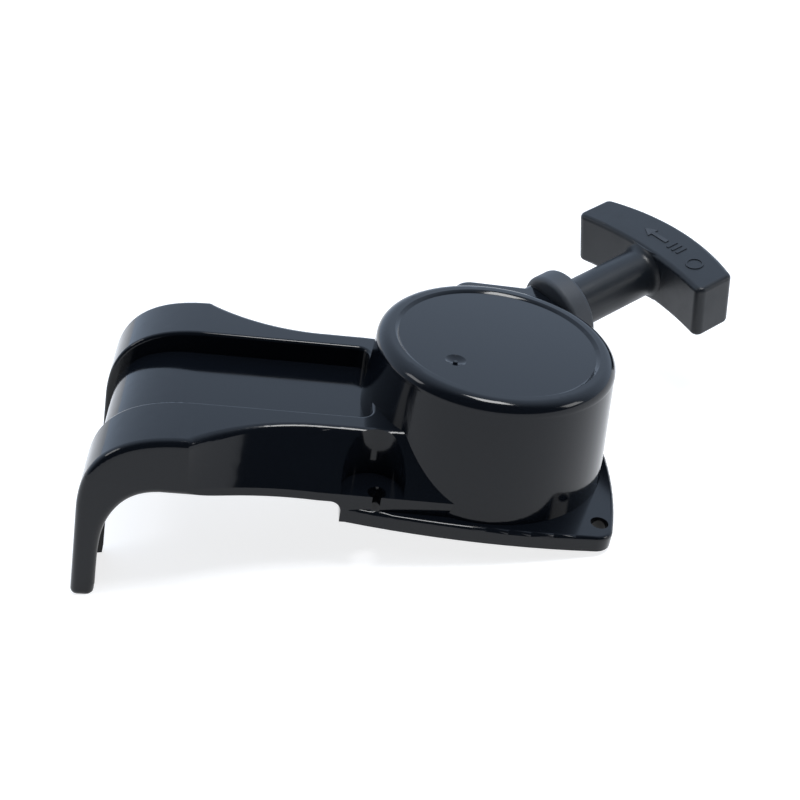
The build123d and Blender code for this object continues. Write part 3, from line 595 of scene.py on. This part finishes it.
def sweep(name: str, path: np.ndarray, radius: float, sides: int = 12, strands: int = 0) -> Piece:
    """Carries a round section along a path.

    Args:
        name: The piece's name.
        path: Points along the path, in metres.
        radius: Radius of the section.
        sides: Vertices round the section.
        strands: Strands of a braid that ripples the surface, or 0 for a plain wire.

    Returns:
        The swept piece.
    """
    step = np.gradient(path, axis=0)
    length = np.linalg.norm(step, axis=1)
    tangents = step / length[:, None]
    travelled = np.cumsum(length)
    angles = np.linspace(0.0, FULL_TURN, sides, endpoint=False)
    normal = np.cross(tangents[0], OFF_AXIS)
    rings = []
    for tangent, run in zip(tangents, travelled):
        normal = normal - tangent * normal.dot(tangent)
        normal /= np.linalg.norm(normal)
        reach = radius * (1.0 + braid_ripple(angles, strands, run / radius)) if strands else radius
        sideways = np.cross(tangent, normal)
        rings.append(np.outer(reach * np.cos(angles), normal) + np.outer(reach * np.sin(angles), sideways))
    points = (path[:, None, :] + np.array(rings)).reshape(-1, 3)
    return mesh_piece(name, points, skin(len(path), sides))


def spun(
    name: str, profile: Sequence[Flat], centre: Vector, sides: int = 48, flats: float = 0.0
) -> Piece:
    """Turns a profile about an upright axis, cut to a hexagon if flats are given.

    Args:
        name: The piece's name.
        profile: Radius and height of each ring, in metres.
        centre: Foot of the axis.
        sides: Vertices round the axis.
        flats: Distance across the hexagon's flats, or 0 for a round piece.

    Returns:
        The turned piece.
    """
    angles = np.linspace(0.0, FULL_TURN, sides, endpoint=False)
    sector = math.pi / 3
    in_sector = (angles + sector / 2) % sector - sector / 2
    hexagon = flats / 2 / np.cos(in_sector) if flats else np.full(sides, np.inf)
    rings = []
    for radius, height in profile:
        reach = np.minimum(radius, hexagon)
        level = np.full(sides, height)
        rings.append(np.column_stack((reach * np.cos(angles), reach * np.sin(angles), level)))
    points = np.concatenate(rings) + np.array(centre)
    return mesh_piece(name, points, skin(len(profile), sides))


@dataclass
class RopeAxes:
    """The rope's directions at rest and the point where it leaves the reel."""

    along: np.ndarray
    across: np.ndarray
    up: np.ndarray
    start: np.ndarray
    length: float

    @classmethod
    def read(cls, frame: dict[str, Any]) -> RopeAxes:
        """Reads them from the frame's pull joint and its rope.


        Returns:
            The rope's axes.
        """
        pull = next(joint for joint in frame["joints"] if joint["name"] == "handle_pull")
        along = np.array(Vector(pull["axis"]).normalized())
        across = np.cross((0.0, 0.0, 1.0), along)
        across /= np.linalg.norm(across)
        points = world_points(frame["nodes"]["rope_run"])
        middle = points.mean(axis=0)
        spread = (points - middle) @ along
        start = middle + along * spread.min()
        return cls(along, across, np.cross(along, across), start, float(np.ptp(spread)))


def world_points(node: Piece) -> np.ndarray:
    """Vertices of a node in the frame's axes.

    Args:
        node: One of the frame's nodes.

    Returns:
        One row for each vertex, in metres.
    """
    return np.array([node.matrix_world @ vertex.co for vertex in node.data.vertices])


@dataclass
class StarterRope:
    """The braided rope: its straight run, the turns on the reel and its two knots."""

    axes: RopeAxes
    nodes: dict[str, Piece]
    diameter: float = 4.5 * MM
    layer_step: float = 3.915 * MM
    turns: tuple[tuple[int, int], ...] = ((0, 0), (1, 0), (1, 1), (2, 1), (2, 0), (3, 0), (3, 1))
    change: float = 50.0  # degrees over which one turn climbs to the next
    step_degrees: int = 2
    run_rings: int = 240
    knot_rings: int = 160

    def build(self) -> None:
        """Makes the four pieces of rope."""
        run = self.make_run()
        coil = self.make_coil()
        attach(coil, "reel")
        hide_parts("rope_coil")
        for name, body in (("handle_knot", "rope_end"), ("reel_knot", "reel")):
            knot = self.make_knot(name)
            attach(knot, body)
            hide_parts(name)
            self.finish(knot)
        self.finish(run)
        self.finish(coil)

    def finish(self, piece: Piece) -> None:
        """Dresses a piece of rope.

        Args:
            piece: The piece.
        """
        Stock.ROPE.dress(piece)

    def make_run(self) -> Piece:
        """The straight run, which stretches between the reel and the handle.

        Returns:
            The run.
        """
        steps = np.linspace(0.0, self.axes.length, self.run_rings)
        path = self.axes.start + np.outer(steps, self.axes.along)
        run = sweep("rope_run_braided", path, self.diameter / 2, 24, 6)
        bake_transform(run)
        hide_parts("rope_run")
        return run

    def make_coil(self) -> Piece:
        """The turns on the reel, from the one that the rope leaves, inwards.

        Returns:
            The coil.
        """
        start = self.axes.start
        outer = abs(float(start @ self.axes.across))
        level = float(start[2])
        leave = math.atan2(self.axes.across[1], self.axes.across[0])
        path = []
        places = [
            (outer - layer * self.layer_step, level + column * self.diameter)
            for layer, column in self.turns
        ]
        for number, (radius, height) in enumerate(places):
            following = places[min(number + 1, len(places) - 1)]
            for degree in range(1, 361, self.step_degrees):
                share = min(max((degree - 360 + self.change) / self.change, 0.0), 1.0)
                share = share * share * (3 - 2 * share)
                angle = leave + math.radians(360 * number + degree)
                reach = radius + (following[0] - radius) * share
                climb = height + (following[1] - height) * share
                path.append((reach * math.cos(angle), reach * math.sin(angle), climb))
        return sweep("rope_coil_wound", np.array(path), self.diameter / 2, 12, 3)

    def make_knot(self, node: str) -> Piece:
        """A tight overhand knot that fills its node's space.

        Args:
            node: The node it stands for.

        Returns:
            The knot.
        """
        points = world_points(self.nodes[node])
        middle = (points.max(axis=0) + points.min(axis=0)) / 2
        in_handle = node == "handle_knot"
        sides = (self.axes.across, self.axes.up) if in_handle else np.eye(3)[:2]
        ends = self.axes.along if in_handle else np.eye(3)[2]
        width = float(np.abs((points - middle) @ sides[0]).max())
        height = float(np.abs((points - middle) @ ends).max())
        thick = min(self.diameter * 0.4, height * 0.6)
        turn = np.linspace(0.0, FULL_TURN, self.knot_rings)
        across = (width - thick) / 3
        path = (
            middle
            + np.outer(across * (np.sin(turn) + 2 * np.sin(2 * turn)), sides[0])
            + np.outer(across * (np.cos(turn) - 2 * np.cos(2 * turn)), sides[1])
            + np.outer((height - thick) * np.sin(3 * turn), ends)
        )
        return sweep(f"{node}_tied", path, thick, 12, 3)


@dataclass
class CoilSpring:
    """A round-wire spring that stands upright in its node's space."""

    node: str
    body: str
    wire_mm: float
    turns: int
    steps_each: int = 36

    def build(self) -> None:
        """Winds the spring, with its first and last half turns closed."""
        low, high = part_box(self.node)
        wire = self.wire_mm * MM / 2
        radius = (high.x - low.x) / 2 - wire
        middle = (low + high) / 2
        share = np.linspace(0.0, 1.0, self.turns * self.steps_each + 1)
        closed = 0.5 / self.turns
        climb = np.clip((share - closed) / (1 - 2 * closed), 0.0, 1.0)
        turn = share * self.turns * FULL_TURN
        path = np.column_stack(
            (
                middle.x + radius * np.cos(turn),
                middle.y + radius * np.sin(turn),
                low.z + wire + climb * (high.z - low.z - 2 * wire),
            )
        )
        spring = sweep(f"{self.node}_wound", path, wire, 10)
        Stock.SPRING_STEEL.dress(spring)
        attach(spring, self.body)
        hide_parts(self.node)


@dataclass
class Fasteners:
    """The case's three pan-head screws and the centre bolt with its chamfered hexagon."""

    nodes: dict[str, Piece]
    screw_r: float = 1.6 * MM
    head_r: float = 2.88 * MM
    head_t: float = 1.8 * MM
    cross_width: float = 0.26  # of the recess's arms, as a share of the head's radius
    cross_depth: float = 0.6  # share of the head's height
    bolt_r: float = 3.0 * MM
    flats: float = 10.0 * MM
    bolt_head_t: float = 4.8 * MM
    face_t: float = 0.4 * MM
    tiny: float = 0.01 * MM

    def build(self) -> None:
        """Makes the screws and the bolt."""
        self.make_bolt()
        points = world_points(self.nodes["cover_screws"])
        low, high = float(points[:, 2].min()), float(points[:, 2].max())
        screws = []
        for number, centre in enumerate(self.screw_centres(points)):
            screws.append(self.make_screw(f"cover_screw_{number + 1}", Vector((*centre, low)), high - low))
        for screw in screws:
            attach(screw, "root")
            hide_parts("cover_screws")

    def screw_centres(self, points: np.ndarray) -> list[Flat]:
        """Axes of the screws, from the node's three separate shapes.

        Args:
            points: The vertices of the screws' node.

        Returns:
            The x and y of each axis.
        """
        centres = []
        left = points
        while len(left):
            near = np.linalg.norm(left[:, :2] - left[0, :2], axis=1) < 2.5 * self.head_r
            group = left[near]
            centres.append(tuple((group[:, :2].max(axis=0) + group[:, :2].min(axis=0)) / 2))
            left = left[~near]
        return centres

    def make_screw(self, name: str, foot: Vector, length: float) -> Piece:
        """One screw, its head down, with a cross recess.

        Args:
            name: The screw's name.
            foot: The lowest point of its axis.
            length: Its whole length.

        Returns:
            The screw.
        """
        profile = [
            (self.head_r * 0.7, 0.0),
            (self.head_r * 0.93, self.head_t * 0.22),
            (self.head_r, self.head_t * 0.6),
            (self.head_r, self.head_t),
            (self.screw_r, self.head_t),
            (self.screw_r, length - self.screw_r),
            (self.screw_r * 0.3, length),
        ]
        screw = spun(name, profile, foot)
        arm = (self.head_r * 1.05, self.head_r * self.cross_width, self.head_t * 2 * self.cross_depth)
        for turn in (0.0, math.pi / 2):
            bpy.ops.mesh.primitive_cube_add(size=1.0, location=foot, rotation=(0.0, 0.0, turn))
            tool = bpy.context.object
            tool.scale = arm
            recess = screw.modifiers.new("recess", "BOOLEAN")
            recess.object = tool
            bpy.context.view_layer.objects.active = screw
            bpy.ops.object.modifier_apply(modifier=recess.name)
            bpy.data.objects.remove(tool)
        return Stock.ZINC.dress(screw)

    def make_bolt(self) -> None:
        """The centre bolt: hexagon with a chamfer below, washer face above and plain shank."""
        low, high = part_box("centre_bolt")
        corner = self.flats / math.sqrt(3)
        chamfer = corner - self.flats / 2
        washer_face = self.flats / 2 * 0.93
        profile = [
            (self.flats / 2 * 0.95, 0.0),
            (corner + self.tiny, chamfer * 0.62),
            (corner + self.tiny, self.bolt_head_t - self.face_t),
            (washer_face, self.bolt_head_t - self.face_t + 2 * self.tiny),
            (washer_face, self.bolt_head_t),
            (self.bolt_r, self.bolt_head_t),
            (self.bolt_r, high.z - low.z - 1.0 * MM),
            (self.bolt_r * 0.7, high.z - low.z),
        ]
        bolt = spun("centre_bolt_turned", profile, Vector((0.0, 0.0, low.z)), 96, self.flats)
        Stock.ZINC.dress(bolt)
        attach(bolt, "root")
        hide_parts("centre_bolt")


@dataclass
class HandleMarks:
    """Plain raised marks on the handle's top face: an arrow, three bars and a ring."""

    axes: RopeAxes
    grip: Piece
    height: float = 0.35 * MM
    sunk: float = 0.2 * MM
    set_back: float = 0.06  # of the bar's depth, from the middle of its top face
    arrow: tuple[Flat, ...] = (
        (5.5, -3.2), (5.5, -1.1), (-4.0, -1.1), (-4.0, 1.1), (5.5, 1.1), (5.5, 3.2), (11.0, 0.0)
    )
    bars_at: Spot = (-7.5, -10.5, -13.5)
    bar_size: Flat = (0.6, 3.0)  # half its width and length
    ring_at: Flat = (-25.0, -2.6)
    ring_radii: Flat = (4.2, 3.3)

    def build(self) -> None:
        """Lays the marks on the face."""
        points = world_points(self.grip)
        top = float((points @ self.axes.up).max())
        upper = points[points @ self.axes.up > top - 0.01 * MM]
        spread = upper @ self.axes.along
        bar = points[points @ self.axes.along > spread.min() - 1.0 * MM]
        middle = float((upper @ self.axes.across).max() + (upper @ self.axes.across).min()) / 2
        depth = float(np.ptp(bar @ self.axes.along))
        place = (middle, float(spread.max() + spread.min()) / 2 + self.set_back * depth, top)
        wide, long = self.bar_size
        bars = [
            [(x - wide, -long), (x + wide, -long), (x + wide, long), (x - wide, long)]
            for x in self.bars_at
        ]
        self.lay("handle_arrow", [self.arrow], place)
        self.lay("handle_bars", bars, place)
        self.lay_ring("handle_ring", place)

    def to_face(self, points: Sequence[Flat], lift: float, place: Spot) -> np.ndarray:
        """Puts points of the face's own plane into the frame.

        Args:
            points: Positions across and along, in millimetres.
            lift: Height over the face, in metres.
            place: Across, along and up of the marks' centre.

        Returns:
            The points, in metres.
        """
        flat = np.array(points) * MM
        return (
            np.outer(place[0] + flat[:, 0], self.axes.across)
            + np.outer(place[1] + flat[:, 1], self.axes.along)
            + (place[2] + lift) * self.axes.up
        )

    def lay(self, name: str, outlines: Sequence[Sequence[Flat]], place: Spot) -> None:
        """Raises flat outlines on the face.

        Args:
            name: The piece's name.
            outlines: Closed outlines, in millimetres.
            place: Across, along and up of the marks' centre.
        """
        points, faces = [], []
        for outline in outlines:
            count, base = len(outline), sum(len(block) for block in points)
            points.append(self.to_face(outline, -self.sunk, place))
            points.append(self.to_face(outline, self.height, place))
            faces += [[base + count + k for k in range(count)], [base + k for k in range(count)][::-1]]
            faces += [
                [base + k, base + (k + 1) % count, base + count + (k + 1) % count, base + count + k]
                for k in range(count)
            ]
        self.finish(mesh_piece(name, np.concatenate(points), faces))

    def lay_ring(self, name: str, place: Spot, sides: int = 48) -> None:
        """Raises the flat ring on the face.

        Args:
            name: The piece's name.
            place: Across, along and up of the marks' centre.
            sides: Vertices round the ring.
        """
        angles = np.linspace(0.0, FULL_TURN, sides, endpoint=False)
        outer, inner = self.ring_radii
        points = []
        section = ((outer, -self.sunk), (outer, self.height), (inner, self.height), (inner, -self.sunk))
        for radius, lift in section:
            circle = [
                (self.ring_at[0] + radius * math.cos(angle), self.ring_at[1] + radius * math.sin(angle))
                for angle in angles
            ]
            points.append(self.to_face(circle, lift, place))
        faces = []
        for ring in range(4):
            low, high = ring * sides, (ring + 1) % 4 * sides
            faces += [
                [low + k, low + (k + 1) % sides, high + (k + 1) % sides, high + k] for k in range(sides)
            ]
        self.finish(mesh_piece(name, np.concatenate(points), faces))

    def finish(self, mark: Piece) -> None:
        """Dresses a mark and fixes it to the handle.

        Args:
            mark: The mark.
        """
        Stock.HANDLE.dress(mark)
        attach(mark, "handle")


def main() -> None:
    """Builds the scene round the frame."""
    logging.basicConfig(level=logging.INFO, format="%(message)s")
    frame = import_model()
    low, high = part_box("starter_housing")
    # the flange's far edge lies on the frame's zero plane
    Studio(Vector((low.x, 0.0, low.z)), Vector((high.x, 0.0, 0.0))).build()
    FramePieces(frame["nodes"]).build()
    axes = RopeAxes.read(frame)
    StarterRope(axes, frame["nodes"]).build()
    HandleMarks(axes, frame["nodes"]["handle_grip"]).build()
    for spring in (
        CoilSpring("friction_spring", "root", 1.6, 4),
        CoilSpring("pawl_spring_a", "reel", 0.7, 2),
        CoilSpring("pawl_spring_b", "reel", 0.7, 2),
    ):
        spring.build()
    Fasteners(frame["nodes"]).build()
    bpy.context.scene.view_settings.view_transform = "Standard"


if __name__ == "__main__":
    main()
